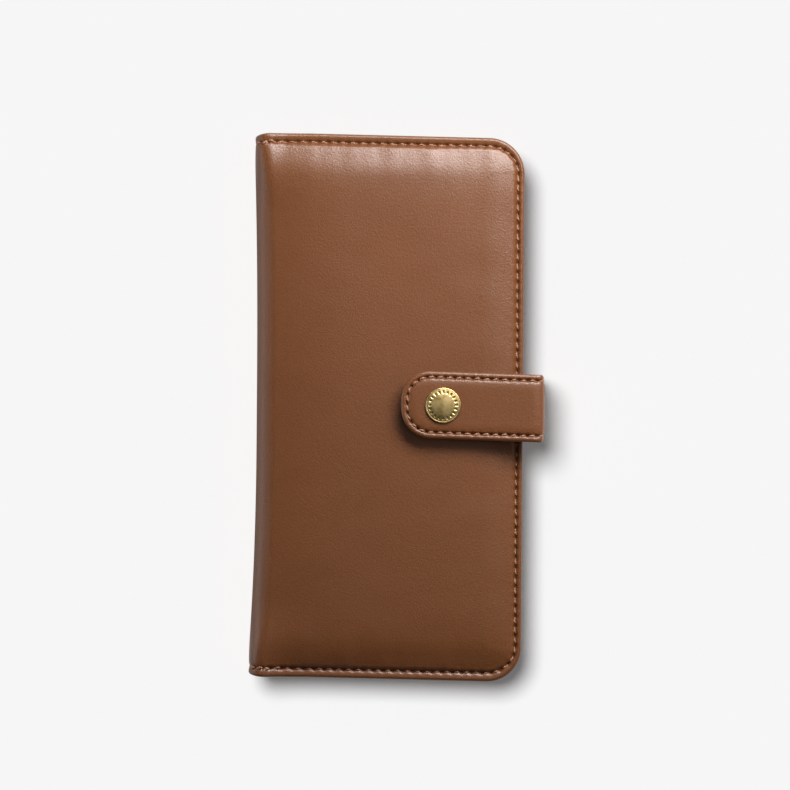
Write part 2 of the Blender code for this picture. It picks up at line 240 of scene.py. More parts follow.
def brass_material():
    made, tree, shader = nodes_of("antiqued_brass")
    cloud = noise(tree, 420, 5, 0.6)
    colour = ramp(
        tree, cloud, (0.3, (0.36, 0.24, 0.088)), (0.5, (0.58, 0.42, 0.168)), (0.75, (0.72, 0.55, 0.27))
    )
    tree.links.new(colour, shader.inputs["Base Color"])
    shader.inputs["Metallic"].default_value = 1.0
    tree.links.new(spread(tree, noise(tree, 900, 3), 0.3, 0.48), shader.inputs["Roughness"])
    bump(tree, shader, noise(tree, 3000, 2), 0.12, 0.00005)
    return made


def patina_material():
    made, tree, shader = nodes_of("dark_patina")
    cloud = noise(tree, 1500, 3)
    colour = ramp(tree, cloud, (0.3, (0.02, 0.013, 0.008)), (0.7, (0.075, 0.052, 0.028)))
    tree.links.new(colour, shader.inputs["Base Color"])
    shader.inputs["Metallic"].default_value = 0.6
    shader.inputs["Roughness"].default_value = 0.6
    return made


def cloth_material(name, dark, light):
    """A plain woven lining."""
    made, tree, shader = nodes_of(name)
    place = add(tree, "ShaderNodeTexCoord")
    waves = []
    for direction in ("X", "Y"):
        wave = add(tree, "ShaderNodeTexWave", bands_direction=direction, Scale=420.0)
        tree.links.new(place.outputs["Object"], wave.inputs["Vector"])
        waves.append(wave.outputs["Fac"])
    weave = combine(tree, waves[0], waves[1], "MULTIPLY")
    tone = combine(tree, noise(tree, 60, 4), weave, "ADD", 0.3)
    colour = ramp(tree, tone, (0.35, dark), (0.75, light))
    tree.links.new(colour, shader.inputs["Base Color"])
    shader.inputs["Roughness"].default_value = 0.9
    shader.inputs["Specular IOR Level"].default_value = 0.2
    bump(tree, shader, weave, 0.3, 0.0001)
    return made


def film_material():
    made, tree, shader = nodes_of("clear_film")
    haze = noise(tree, 80, 4)
    colour = ramp(tree, haze, (0.3, (0.85, 0.87, 0.88)), (0.7, (0.95, 0.96, 0.96)))
    tree.links.new(colour, shader.inputs["Base Color"])
    tree.links.new(spread(tree, haze, 0.08, 0.18), shader.inputs["Roughness"])
    shader.inputs["Alpha"].default_value = 0.28
    return made


LEATHER = leather_material(
    "brown_leather", (0.111, 0.0365, 0.0105), (0.13, 0.0435, 0.0128), (0.152, 0.0535, 0.0172)
)
POCKET_LEATHER = leather_material(
    "pocket_leather", (0.098, 0.036, 0.0145), (0.12, 0.046, 0.019), (0.142, 0.057, 0.025)
)
THREAD = thread_material()
BRASS = brass_material()
PATINA = patina_material()
LINING = cloth_material("woven_lining", (0.062, 0.031, 0.015), (0.118, 0.064, 0.034))
FILM = film_material()


# ---------------------------------------------------------------- mesh helpers


def mesh_object(name, vertices, faces, material, sharp=40):
    mesh = bpy.data.meshes.new(name)
    mesh.from_pydata([tuple(v) for v in vertices], [], faces)
    mesh.update()
    mesh.shade_smooth()
    if sharp:
        mesh.set_sharp_from_angle(angle=math.radians(sharp))
    mesh.materials.append(material)
    obj = bpy.data.objects.new(name, mesh)
    bpy.context.scene.collection.objects.link(obj)
    return obj


def grid_faces(rows, columns, flip=False, close_columns=False, offset=0):
    """Quads over a grid of rows by columns of vertices, stored row by row."""
    i, j = np.meshgrid(np.arange(rows - 1), np.arange(columns - (not close_columns)), indexing="ij")
    k = (j + 1) % columns
    quads = np.stack(
        [i * columns + j, (i + 1) * columns + j, (i + 1) * columns + k, i * columns + k], -1
    ).reshape(-1, 4)
    if flip:
        quads = quads[:, ::-1]
    return (quads + offset).tolist()


def face_outwards(obj, weld=0.0, bevel=0.0):
    """Turns all faces outwards, after welding doubled points and before rounding a sharp rim."""
    shape = bmesh.new()
    shape.from_mesh(obj.data)
    if weld:
        bmesh.ops.remove_doubles(shape, verts=shape.verts, dist=weld)
    bmesh.ops.recalc_face_normals(shape, faces=shape.faces)
    if bevel:
        rim = [e for e in shape.edges if abs(e.calc_face_angle(0)) > math.radians(60)]
        bmesh.ops.bevel(shape, geom=rim, offset=bevel, segments=2, profile=0.5, affect="EDGES")
    shape.to_mesh(obj.data)
    shape.free()
    return obj


def steps(start, end, size):
    count = max(2, int(round(abs(end - start) / size)) + 1)
    return np.linspace(start, end, count)


def join_lines(*runs):
    """Grid lines from several runs that share their end points."""
    lines = list(runs[0])
    for run in runs[1:]:
        lines += list(run[1:])
    return np.array(lines)


def smooth(t):
    t = np.clip(t, 0, 1)
    return t * t * (3 - 2 * t)


def hump(d, centre, width):
    return np.exp(-(((d - centre) / width) ** 2))


def waves(x, y, scale, seed, terms=9):
    """A smooth random field of about this wavelength, between -1 and 1."""
    draw = np.random.default_rng(seed)
    total = np.zeros(np.broadcast(x, y).shape)
    for _ in range(terms):
        angle, phase = draw.uniform(0, 2 * math.pi, 2)
        size = scale * draw.uniform(0.7, 1.6)
        along = x * math.cos(angle) + y * math.sin(angle)
        total += np.sin(2 * math.pi * along / size + phase)
    return total / terms * 1.6


def ring_map(a, b, radius, inset):
    """Where grid lines at unfolded distances a and b from two edges fall when their corner is round.

    Returns the true distances from the two edges, the distance along the ring, and how much the
    nearest edge is the first one.
    """
    a, b = np.broadcast_arrays(a, b)
    near = np.minimum(a, b)
    in_a, in_b = inset(a), inset(b)
    pa, pb = radius - a, radius - b
    length = np.maximum(np.hypot(pa, pb), 1e-12)
    corner = (a < radius) & (b < radius)
    ring = np.where(corner, radius - np.maximum(pa, pb), near)
    reach = radius - inset(ring)
    out_a = np.where(corner, radius - reach * pa / length, in_a)
    out_b = np.where(corner, radius - reach * pb / length, in_b)
    share = np.where(corner, (pa / length) ** 2, (a < b).astype(float))
    return out_a, out_b, ring, share


# ---------------------------------------------------------------- stitches


def along_path(points, spacing, start=0.5):
    """Evenly spaced places and directions on a run of points."""
    points = np.array(points)
    lengths = np.r_[0, np.cumsum(np.linalg.norm(np.diff(points, axis=0), axis=1))]
    count = int(round(lengths[-1] / spacing))
    places = (np.arange(count) + start) * lengths[-1] / count
    found = np.stack([np.interp(places, lengths, points[:, k]) for k in range(points.shape[1])], 1)
    ahead = np.stack(
        [np.interp(places + 0.2 * MM, lengths, points[:, k]) for k in range(points.shape[1])], 1
    )
    behind = np.stack(
        [np.interp(places - 0.2 * MM, lengths, points[:, k]) for k in range(points.shape[1])], 1
    )
    direction = ahead - behind
    direction /= np.maximum(np.linalg.norm(direction, axis=1), 1e-12)[:, None]
    return found, direction


def stitch_row(
    name, places, length=STITCH_LENGTH, radius=STITCH_R, lift=0.02 * MM, sink=0.8 * MM, extra=()
):
    """Twisted thread beads at (centre, direction, normal), each one diving into a hole at both ends."""
    vertices, faces = [], []
    rings, sides = 11, 10
    beads = [(*place, 1.0, 0.0) for place in places] + list(extra)
    for centre, along, up, size, turn in beads:
        up = up / np.linalg.norm(up)
        along = along - up * (along @ up)
        along /= np.linalg.norm(along)
        across = np.cross(up, along)
        tilt = STITCH_SLANT + turn + rng.normal(0, 0.1)
        size = size * (1 + rng.normal(0, 0.05))
        centre = centre + across * rng.normal(0, 0.07 * MM)
        along, across = (
            along * math.cos(tilt) + across * math.sin(tilt),
            across * math.cos(tilt) - along * math.sin(tilt),
        )
        t = np.linspace(-1, 1, rings)
        spin = np.linspace(0, 2 * math.pi, sides, endpoint=False)
        tt, ss = np.meshgrid(t, spin, indexing="ij")
        body = np.sqrt(np.clip(1 - np.abs(tt) ** 4, 0.0, 1)) * 0.92 + 0.08
        twist = 0.84 + 0.16 * np.abs(np.cos(ss + 3.6 * tt + rng.uniform(0, 3)))
        thick = radius * size * body * twist * (1 + rng.normal(0, 0.03))
        drop = sink * np.abs(tt) ** 3.2
        middle = (
            centre
            + along * (tt[..., None] * length * size / 2)
            + up * (lift - drop)[..., None]
        )
        ring = (
            middle
            + across * (thick * np.cos(ss))[..., None] * 1.05
            + up * (thick * np.sin(ss))[..., None] * 0.8
        )
        start = len(vertices)
        vertices.extend(ring.reshape(-1, 3))
        faces.extend(grid_faces(rings, sides, close_columns=True, offset=start))
        faces.append([start + k for k in range(sides)])
        last = start + (rings - 1) * sides
        faces.append([last + k for k in range(sides)][::-1])
    return face_outwards(mesh_object(name, vertices, faces, THREAD, 0))


# ---------------------------------------------------------------- cover skins

STRAIGHT = FORE_X - (SPINE_X + SPINE_ROUND)
SPINE_ARC = SPINE_ROUND * math.pi / 2
SKIN_LENGTH = STRAIGHT + SPINE_ARC + (TOP_Z - SPINE_ROUND - MID_Z)


def cover_line(d):
    """The case's outer outline in the XZ plane, from the opening edge to the middle of the spine."""
    turn = np.clip((d - STRAIGHT) / SPINE_ROUND, 0, math.pi / 2)
    down = np.maximum(d - STRAIGHT - SPINE_ARC, 0)
    x = np.where(d < STRAIGHT, FORE_X - d, SPINE_X + SPINE_ROUND - SPINE_ROUND * np.sin(turn))
    z = TOP_Z - SPINE_ROUND + SPINE_ROUND * np.cos(turn) - down
    return x, z, -np.sin(turn), np.cos(turn)


def edge_inset(d, radius):
    """Distance in from the outline for an unfolded distance d that rolls over the turned edge."""
    t = np.clip((radius - d) / radius, 0, math.pi)
    under = np.maximum(radius - math.pi * radius - d, 0)
    return np.where(d >= radius, d, radius - radius * np.sin(t) + under)


def edge_drop(d, radius):
    t = np.clip((radius - d) / radius, 0, math.pi)
    return radius - radius * np.cos(t)


def seam_inset(share):
    return BORDER * (1 - share) + BORDER_EDGE * share


def seam_path(half_y, length, radius, border, border_edge):
    """Points (distance from the round end, y) of a seam round three sides."""
    run = [(length, -(half_y - border))]
    for side in (-1, 1):
        turns = np.linspace(0, math.pi / 2, 17)
        if side > 0:
            turns = turns[::-1]
        for turn in turns:
            share = math.sin(turn) ** 2
            reach = radius - (border * (1 - share) + border_edge * share)
            run.append(
                (radius - reach * math.sin(turn), side * (half_y - radius + reach * math.cos(turn)))
            )
    run.append((length, half_y - border))
    return run


COVER_SEAM = seam_path(END_Y, SKIN_LENGTH - 5 * MM, CORNER, BORDER, BORDER_EDGE)


def spine_taper(d):
    """1 over the padded cover, 0 over the spine."""
    return 1 - smooth((d - STRAIGHT + 6 * MM) / (SPINE_ARC + 8 * MM))


def lip(d):
    """The steep start of the crown, from 0 at the seam to 1."""
    t = np.clip(d / LIP_WIDTH, 0, 1)
    return 1 - (1 - t) ** 2.2


def spine_flare(y):
    """The skin stands out a little at both ends of the spine."""
    top = np.clip((y - FLARE_FROM) / (END_Y - FLARE_FROM), 0, 1) ** 2.2
    bottom = np.clip((-y - FLARE_FROM) / (END_Y - FLARE_FROM), 0, 1) ** 2.2
    return FLARE_TOP * top + FLARE_BOTTOM * bottom


def flare_out(points):
    """Moves the front skin out a little at both ends of the spine."""
    points = np.array(points, float)
    x, y, z = points[..., 0], points[..., 1], points[..., 2]
    reach = smooth((SPINE_X + 22 * MM - x) / (22 * MM)) * smooth((z - MID_Z) / (MID_Z - SPINE_ROUND))
    points[..., 0] = x - spine_flare(y) * reach
    return points


def shape_cover(x, y, z):
    """Overall set of the leather: ends that aren't quite square, and rounded ends of the spine."""
    corner = np.clip((SPINE_X + 6 * MM - x) / (6 * MM), 0, 1) ** 2
    corner = corner * smooth((np.abs(y) - END_Y + 10 * MM) / (10 * MM)) * np.sign(y)
    leaning = LEAN * np.maximum(x, SPINE_X * 0.6)
    return x, y - leaning - END_ROUND * corner, z


def spine_bow(x, nz):
    """How far the cover sinks towards the spine."""
    sunk = np.clip((SPINE_BOW_X - x) / (SPINE_BOW_X - SPINE_X), 0, 1) ** 2.2
    return SPINE_BOW * sunk * np.clip(nz, 0, 1) ** 0.8


def lip_rise(padded):
    return LIP_RISE * (SPINE_SHARE + (1 - SPINE_SHARE) * padded)


# ---------------------------------------------------------------- padding, by cloth simulation

PAD_LOW = (SPINE_X - 14 * MM, -END_Y + BORDER)
PAD_HIGH = (FORE_X - BORDER_EDGE, END_Y - BORDER)
PAD_CELLS = (34, 68)
PAD_DEEP = 3 * MM
PAD_SMOOTHING = 7
PAD_FULL = 0.86  # share of the blown-up height at which the foam's own thickness stops it


def pad_corner(x, y):
    """How far a point lies outside the padding's rounded corners."""
    radius = CORNER - BORDER_EDGE
    dx = np.maximum(x - (PAD_HIGH[0] - radius), 0)
    dy = np.maximum(np.abs(y) - (PAD_HIGH[1] - radius), 0)
    return np.hypot(dx, dy) - radius


def foam_form():
    """Heights on a grid, from 0 to 1, of cloth blown up between the cover's seams."""
    columns, rows = PAD_CELLS[0] + 1, PAD_CELLS[1] + 1
    xs = np.linspace(PAD_LOW[0], PAD_HIGH[0], columns)
    ys = np.linspace(PAD_LOW[1], PAD_HIGH[1], rows)
    x, y = np.meshgrid(xs, ys, indexing="ij")
    held = np.ones((columns, rows), bool)
    held[1:-1, 1:-1] = pad_corner(x, y)[1:-1, 1:-1] > 0
    top = np.stack([x, y, 0 * x], -1).reshape(-1, 3)
    bottom = top - (0, 0, PAD_DEEP)
    count = columns * rows
    faces = grid_faces(columns, rows) + grid_faces(columns, rows, flip=True, offset=count)
    rim = [i * rows for i in range(columns)] + [(columns - 1) * rows + j for j in range(1, rows)]
    rim += [i * rows + rows - 1 for i in range(columns - 2, -1, -1)] + list(range(rows - 2, 0, -1))
    for k, first in enumerate(rim):
        second = rim[(k + 1) % len(rim)]
        faces.append([first, second, second + count, first + count])
    pad = mesh_object("pad_form", np.r_[top, bottom], faces, LEATHER, 0)
    group = pad.vertex_groups.new(name="held")
    held_points = np.nonzero(held.reshape(-1))[0].tolist() + list(range(count, 2 * count))
    group.add(held_points, 1.0, "REPLACE")
    cloth = pad.modifiers.new("cloth", "CLOTH").settings
    cloth.quality = 5
    cloth.mass = 0.15
    cloth.tension_stiffness = 12
    cloth.compression_stiffness = 12
    cloth.shear_stiffness = 4
    cloth.bending_stiffness = 6
    cloth.vertex_group_mass = "held"
    cloth.shrink_min = -0.002
    cloth.use_pressure = True
    cloth.uniform_pressure_force = 4
    cloth.effector_weights.gravity = 0
    for number in range(1, 21):
        bpy.context.scene.frame_set(number)
    depsgraph = bpy.context.evaluated_depsgraph_get()
    found = pad.evaluated_get(depsgraph).data
    places = np.empty(len(found.vertices) * 3)
    found.vertices.foreach_get("co", places)
    height = places.reshape(-1, 3)[:count, 2].reshape(columns, rows)
    bpy.data.objects.remove(pad, do_unlink=True)
    bpy.context.scene.frame_set(1)
    return even_out(np.clip(height / height.max(), 0, 1), PAD_SMOOTHING)


def even_out(grid, passes):
    """Averages each place with its neighbours, as leather bridges the padding's small creases."""
    for _ in range(passes):
        for axis in (0, 1):
            around = np.pad(grid, [(1, 1) if k == axis else (0, 0) for k in (0, 1)], mode="edge")
            before, after = np.delete(around, [0, 1], axis), np.delete(around, [-1, -2], axis)
            grid = 0.5 * grid + 0.25 * (before + after)
    return grid


def smooth_lookup(grid, x, y):
    """A cubic B-spline through the padding's grid, read at any places."""
    columns, rows = grid.shape
    u = (x - PAD_LOW[0]) / (PAD_HIGH[0] - PAD_LOW[0]) * (columns - 1)
    v = (y - PAD_LOW[1]) / (PAD_HIGH[1] - PAD_LOW[1]) * (rows - 1)
    u, v = np.clip(u, 0, columns - 1), np.clip(v, 0, rows - 1)
    i, j = np.floor(u).astype(int), np.floor(v).astype(int)
    total = np.zeros(np.broadcast(x, y).shape)

    def weights(t):
        return (
            (1 - t) ** 3 / 6,
            (3 * t**3 - 6 * t**2 + 4) / 6,
            (-3 * t**3 + 3 * t**2 + 3 * t + 1) / 6,
            t**3 / 6,
        )

    for di, wi in enumerate(weights(u - i)):
        for dj, wj in enumerate(weights(v - j)):
            column = np.clip(i + di - 1, 0, columns - 1)
            row = np.clip(j + dj - 1, 0, rows - 1)
            total += wi * wj * grid[column, row]
    return total


def foam_level(form, x, y):
    """The padding's height, from 0 to 1, once the foam's thickness stops it."""
    t = np.clip(smooth_lookup(form, x, y) / PAD_FULL, 0, 1)
    return 1 - (1 - t) ** 2


def hole_dips(out_a, y, near_seam, holes, dips):
    """How far the surface is pulled down round the needle holes, as (depth, size) pairs."""
    drop = np.zeros(out_a.shape)
    ia, ja = np.nonzero(near_seam)
    here = np.stack([out_a[ia, ja], y[ia, ja]], 1)
    for block in range(0, len(here), 4000):
        gap = here[block : block + 4000, None, :] - holes[None]
        nearest = (gap**2).sum(2).min(1)
        pulled = sum(depth * np.exp(-nearest / size**2) for depth, size in dips)
        drop[ia[block : block + 4000], ja[block : block + 4000]] = pulled
    return drop


def cover_grid(form):
    """Points of the front cover's outer skin, its turned edge and the hem under it."""
    hem = EDGE_ROUND - math.pi * EDGE_ROUND - HEM
    roll = EDGE_ROUND - math.pi * EDGE_ROUND
    fine = 6.5 * MM
    near = join_lines(
        steps(hem, roll, 1.2 * MM), steps(roll, EDGE_ROUND, 0.3 * MM), steps(EDGE_ROUND, fine, FINE)
    )
    a_lines = join_lines(near, steps(fine, SKIN_LENGTH, COARSE))
    half = join_lines(near, steps(fine, END_Y, COARSE))
    b_lines = np.r_[half, half[-2::-1]]
    side = np.r_[-np.ones(len(half)), np.ones(len(half) - 1)]
    a, b = np.meshgrid(a_lines, b_lines, indexing="ij")
    out_a, out_b, ring, share = ring_map(a, b, CORNER, lambda d: edge_inset(d, EDGE_ROUND))
    y = side[None, :] * (END_Y - out_b)
    x, z, nx, nz = cover_line(out_a)

    padded = spine_taper(out_a)
    seam = seam_inset(share)
    inside = smooth((ring - seam) / (1.8 * MM))
    drop = lip_rise(padded) * (1 - lip(ring - seam))
    drop += FOAM_RISE * padded * (1 - foam_level(form, x, y) * inside)
    drop += edge_drop(ring, EDGE_ROUND)
    drop -= 0.13 * MM * hump(ring, seam * 0.42, seam * 0.3) * (ring > EDGE_ROUND * 0.4) * padded
    drop += 0.38 * MM * hump(ring, seam, 0.5 * MM) * (0.25 + 0.75 * padded)
    drop -= HEM_LIFT * np.clip((roll - ring) / HEM, 0, 1)
    holes, _ = along_path(COVER_SEAM, PITCH, start=0.0)
    close = np.abs(ring - seam) < 4 * MM
    drop += hole_dips(out_a, y, close, holes, ((0.55 * MM, 0.62 * MM), (0.14 * MM, 1.9 * MM)))
    drop += uneven(x, y) * smooth((ring - seam) / (6 * MM)) * padded
    drop += puckers(x, y) * smooth((ring - seam) / (2.5 * MM)) * padded
    drop += spine_bow(x, nz) * smooth((ring - seam) / BOW_START)
    px, py, pz = x - nx * drop, y, z - nz * drop
    px, py, pz = shape_cover(px, py, pz)
    return np.stack([px, py, pz], -1)


def uneven(x, y):
    """Slight hollows of hand-filled padding, never above the flat."""
    broad = waves(x, y, 46 * MM, 3)
    small = waves(x, y, 15 * MM, 5)
    return UNEVEN * (0.7 * (1 - broad) + 0.25 * (1 - small)) / 2


def puckers(x, y):
    """Soft hollows that run in from the seams at the two ends, where the thread gathers the leather.

    The sign of y only shifts the phases, so the two ends differ.
    """
    fading = 1 - smooth((END_Y - BORDER - np.abs(y)) / PUCKER_REACH)
    return PUCKER * (1 - waves(x, np.sign(y), PUCKER_GAP, 31)) / 2 * fading


def cover_seam_places():
    """Places, directions and normals of the stitches on the front cover."""
    centres, directions = along_path(COVER_SEAM, PITCH)
    return [surface_place(c, d) for c, d in zip(centres, directions)]


def surface_place(centre, direction):
    """A place on the seam, from (distance from the opening edge, y)."""

    def point(a, y):
        x, z, nx, nz = cover_line(np.array([a]))
        padded = spine_taper(np.array([a]))
        drop = lip_rise(padded) + FOAM_RISE * padded + 0.28 * MM
        px, py, pz = shape_cover(x - nx * drop, np.array([y]), z - nz * drop)
        return np.array([px[0], py[0], pz[0]]), np.array([nx[0], 0, nz[0]])
    here, normal = point(*centre)
    ahead, _ = point(*(centre + direction * 0.3 * MM))
    return here, ahead - here, normal


def mirror_down(points):
    """The back cover is the front one turned over."""
    turned = np.array(points, float)
    turned[..., 2] = TOP_Z - turned[..., 2]
    return turned


def turn_to(side, places):
    """Stitch places of the front cover, carried to either cover."""
    if side == "front":
        return [(flare_out(centre), *rest) for centre, *rest in places]
    flip = np.array([1, 1, -1])
    return [(mirror_down(c), d * flip, n * flip, *rest) for c, d, n, *rest in places]


def blend_cover(obj, side):
    """Bakes a piece's placing into its mesh; the fold's two ends are worked out, but the piece is not bent
    across the fold between the spine and its cover.
    """
    low = np.array([SPINE_X, 0, TOP_Z - SPINE_ROUND * 0.75])
    high = np.array([SPINE_X + SPINE_ROUND * 0.75, 0, TOP_Z])
    if side == "back":
        low, high = mirror_down(low), mirror_down(high)
    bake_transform(obj)
    return obj


def make_covers():
    points = cover_grid(foam_form())
    rows, columns = points.shape[:2]
    places = cover_seam_places()
    for side in ("front", "back"):
        skin_points = flare_out(points) if side == "front" else mirror_down(points)
        skin = mesh_object(
            side + "_cover_skin",
            skin_points.reshape(-1, 3),
            grid_faces(rows, columns, flip=side == "front"),
            LEATHER,
            0,
        )
        blend_cover(skin, side)
        nodes = ["leather", "foam", "board"]
        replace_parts(skin, *(f"{side}_cover_{n}" for n in nodes))
        if side == "front":
            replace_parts(skin, "spine_leather")
        seam, tacks = (turn_to(side, row) for row in (places, back_tacks(places)))
        stitches = stitch_row(side + "_edge_stitches", seam, extra=tacks)
        blend_cover(stitches, side)
        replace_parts(stitches, side + "_edge_thread")


def back_tacks(places):
    """Doubled stitches that lock both ends of the seam."""
    extra = []
    for run in (places[:4], places[-4:]):
        for number, (centre, along, up) in enumerate(run):
            shift = np.array([0, 0.35 * MM * (1 if number % 2 else -1), 0.25 * MM])
            extra.append((centre + shift + along * 2.2, along, up, 1.12, 0.25 * (-1) ** number))
    return extra


# ---------------------------------------------------------------- strap

STRAP_MID_Z = STRAP_TOP - STRAP_THICK / 2
STRAP_MID_X = STRAP_OUT - STRAP_THICK / 2
FLAP_STRAIGHT = STRAP_MID_X - STRAP_FOLD_ROUND - STRAP_TIP
FOLD_ARC = STRAP_FOLD_ROUND * math.pi / 2
FLAP_LENGTH = FLAP_STRAIGHT + FOLD_ARC + (STRAP_MID_Z - STRAP_FOLD_ROUND - STRAP_SPLIT_Z)


def flap_line(d):
    """Middle of the strap's thickness, from its tip over the fold and halfway down its upright part."""
    turn = np.clip((d - FLAP_STRAIGHT) / STRAP_FOLD_ROUND, 0, math.pi / 2)
    down = np.maximum(d - FLAP_STRAIGHT - FOLD_ARC, 0)
    x = np.where(
        d < FLAP_STRAIGHT,
        STRAP_TIP + d,
        STRAP_MID_X - STRAP_FOLD_ROUND + STRAP_FOLD_ROUND * np.sin(turn),
    )
    z = STRAP_MID_Z - STRAP_FOLD_ROUND + STRAP_FOLD_ROUND * np.cos(turn) - down
    return x, z, np.sin(turn), np.cos(turn)


def lean_strap(x, y):
    """The strap lies a little askew, turned about its snap."""
    return y + STRAP_Y - STRAP_LEAN * (x - SNAP_X)


def fold_pinch(d):
    """Share of the strap's thickness that is left where it is creased."""
    middle = FLAP_STRAIGHT + FOLD_ARC / 2
    return 1 - 0.42 * hump(d, middle, 1.6 * MM)


STRAP_SEAM = seam_path(STRAP_HALF, FLAP_LENGTH + 2 * MM, STRAP_CORNER, STRAP_BORDER, STRAP_BORDER)


def half_thickness(ring, outer, dips):
    """Half the strap's thickness at a distance in from its edge: border, seam groove and raised middle."""
    t = np.clip((STRAP_EDGE_ROUND - ring) / STRAP_EDGE_ROUND, 0, math.pi / 2)
    edge = STRAP_EDGE_ROUND * np.cos(t)
    if not outer:
        return edge + 0.25 * MM * smooth((ring - STRAP_BORDER) / (2 * MM))
    border = 0.16 * MM * hump(ring, STRAP_BORDER * 0.55, 0.7 * MM) * (ring > 0.5 * MM)
    seam = -0.34 * MM * hump(ring, STRAP_BORDER, 0.42 * MM)
    t = np.clip((ring - STRAP_BORDER - 0.25 * MM) / (3.6 * MM), 0, 1)
    middle = 0.62 * MM * (1 - (1 - t) ** 2.4) ** 0.6
    return edge + border + seam + middle - dips


def strap_panel(name, length, line, radius, seam, material, open_end=True):
    """A closed strap: an outer and an inner face that meet round its turned edge."""
    fine = 4.2 * MM
    limit = STRAP_EDGE_ROUND - STRAP_EDGE_ROUND * math.pi / 2
    near = join_lines(steps(limit, STRAP_EDGE_ROUND, 0.2 * MM), steps(STRAP_EDGE_ROUND, fine, 0.2 * MM))
    if open_end:
        a_lines = steps(0, length, 0.35 * MM) + 40 * MM
        start = 40 * MM
    else:
        a_lines = join_lines(near, steps(fine, length, 0.3 * MM))
        start = 0.0
    half = join_lines(near, steps(fine, STRAP_HALF, 0.5 * MM))
    b_lines = np.r_[half, half[-2::-1]]
    side = np.r_[-np.ones(len(half)), np.ones(len(half) - 1)]
    a, b = np.meshgrid(a_lines, b_lines, indexing="ij")
    out_a, out_b, ring, _ = ring_map(a, b, radius, lambda d: edge_inset(d, STRAP_EDGE_ROUND))
    y = side[None, :] * (STRAP_HALF - out_b)
    out_a = out_a - start
    x, z, nx, nz = line(out_a)
    holes, _ = along_path(seam, STRAP_PITCH, start=0.0)
    near_seam = np.abs(ring - STRAP_BORDER) < 1.5 * MM
    dips = hole_dips(out_a, y, near_seam, holes, ((0.5 * MM, 0.6 * MM),))
    vertices, faces = [], []
    for outer in (True, False):
        thick = half_thickness(ring, outer, dips) * fold_pinch(out_a)
        sign = 1 if outer else -1
        px = x + sign * nx * thick
        points = np.stack([px, lean_strap(px, y), z + sign * nz * thick], -1)
        faces += grid_faces(*points.shape[:2], flip=not outer, offset=len(vertices))
        vertices += points.reshape(-1, 3).tolist()
    rows, columns = a.shape
    last = (rows - 1) * columns
    under = rows * columns
    ends = [last] if not open_end else [0, last]
    for row in ends:
        for k in range(columns - 1):
            faces.append([row + k, row + k + 1, under + row + k + 1, under + row + k])
    return face_outwards(mesh_object(name, vertices, faces, material, 0), weld=WELD)


def sharpen(obj, degrees=50):
    obj.data.set_sharp_from_angle(angle=math.radians(degrees))
    return obj


def strap_place(centre, direction, line):
    def point(a, y):
        x, z, nx, nz = line(np.array([a]))
        thick = (STRAP_EDGE_ROUND + 0.02 * MM) * fold_pinch(a)
        px = x[0] + nx[0] * thick
        return (
            np.array([px, lean_strap(px, y), z[0] + nz[0] * thick]),
            np.array([nx[0], 0, nz[0]]),
        )
    here, normal = point(*centre)
    ahead, _ = point(*(centre + direction * 0.3 * MM))
    return here, ahead - here, normal


def make_strap():
    flap = strap_panel("strap_flap", FLAP_LENGTH, flap_line, STRAP_CORNER, STRAP_SEAM, LEATHER, False)
    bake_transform(sharpen(flap))
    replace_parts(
        flap,
        "strap_top_outer",
        "strap_top_core",
        "strap_top_inner",
        "strap_side_outer",
        "strap_side_core",
        "strap_side_inner",
    )
    centres, directions = along_path(STRAP_SEAM, STRAP_PITCH)
    keep = centres[:, 0] < FLAP_LENGTH - 0.5 * MM
    places = [strap_place(c, d, flap_line) for c, d in zip(centres[keep], directions[keep])]
    stitches = stitch_row("strap_flap_stitches", places, STRAP_STITCH_LENGTH, STRAP_STITCH_R)
    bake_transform(stitches)
    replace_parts(stitches, "strap_thread")
    make_strap_tail()


TAIL_MID_Z = (ROOT_LOW.z + ROOT_HIGH.z) / 2
TAIL_UP = STRAP_SPLIT_Z - TAIL_MID_Z - STRAP_FOLD_ROUND
TAIL_LENGTH = TAIL_UP + FOLD_ARC + (STRAP_MID_X - STRAP_FOLD_ROUND - ROOT_LOW.x)


def tail_line(d):
    """Middle of the strap's thickness, from halfway down its upright part, round and in to its root."""
    turn = np.clip((d - TAIL_UP) / STRAP_FOLD_ROUND, 0, math.pi / 2)
    along = np.maximum(d - TAIL_UP - FOLD_ARC, 0)
    x = STRAP_MID_X - STRAP_FOLD_ROUND + STRAP_FOLD_ROUND * np.cos(turn) - along
    z = np.where(
        d < TAIL_UP, STRAP_SPLIT_Z - d, TAIL_MID_Z + STRAP_FOLD_ROUND - STRAP_FOLD_ROUND * np.sin(turn)
    )
    return x, z, np.cos(turn), -np.sin(turn)


def make_strap_tail():
    half_y = STRAP_HALF - STRAP_BORDER
    seam = [(0, -half_y), (TAIL_LENGTH, -half_y)]
    both = seam + [(TAIL_LENGTH, half_y), (0, half_y)]
    tail = strap_panel("strap_tail", TAIL_LENGTH, tail_line, 0.1 * MM, both, LEATHER)
    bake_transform(sharpen(tail))
    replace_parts(tail, "strap_root_outer", "strap_root_core", "strap_root_inner")
    places = []
    for y in (-half_y, half_y):
        centres, directions = along_path([(0, y), (TAIL_LENGTH - 1 * MM, y)], STRAP_PITCH)
        places += [strap_place(c, d, tail_line) for c, d in zip(centres, directions)]
    stitches = stitch_row("strap_tail_stitches", places, STRAP_STITCH_LENGTH, STRAP_STITCH_R)
    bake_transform(stitches)


# ---------------------------------------------------------------- snap


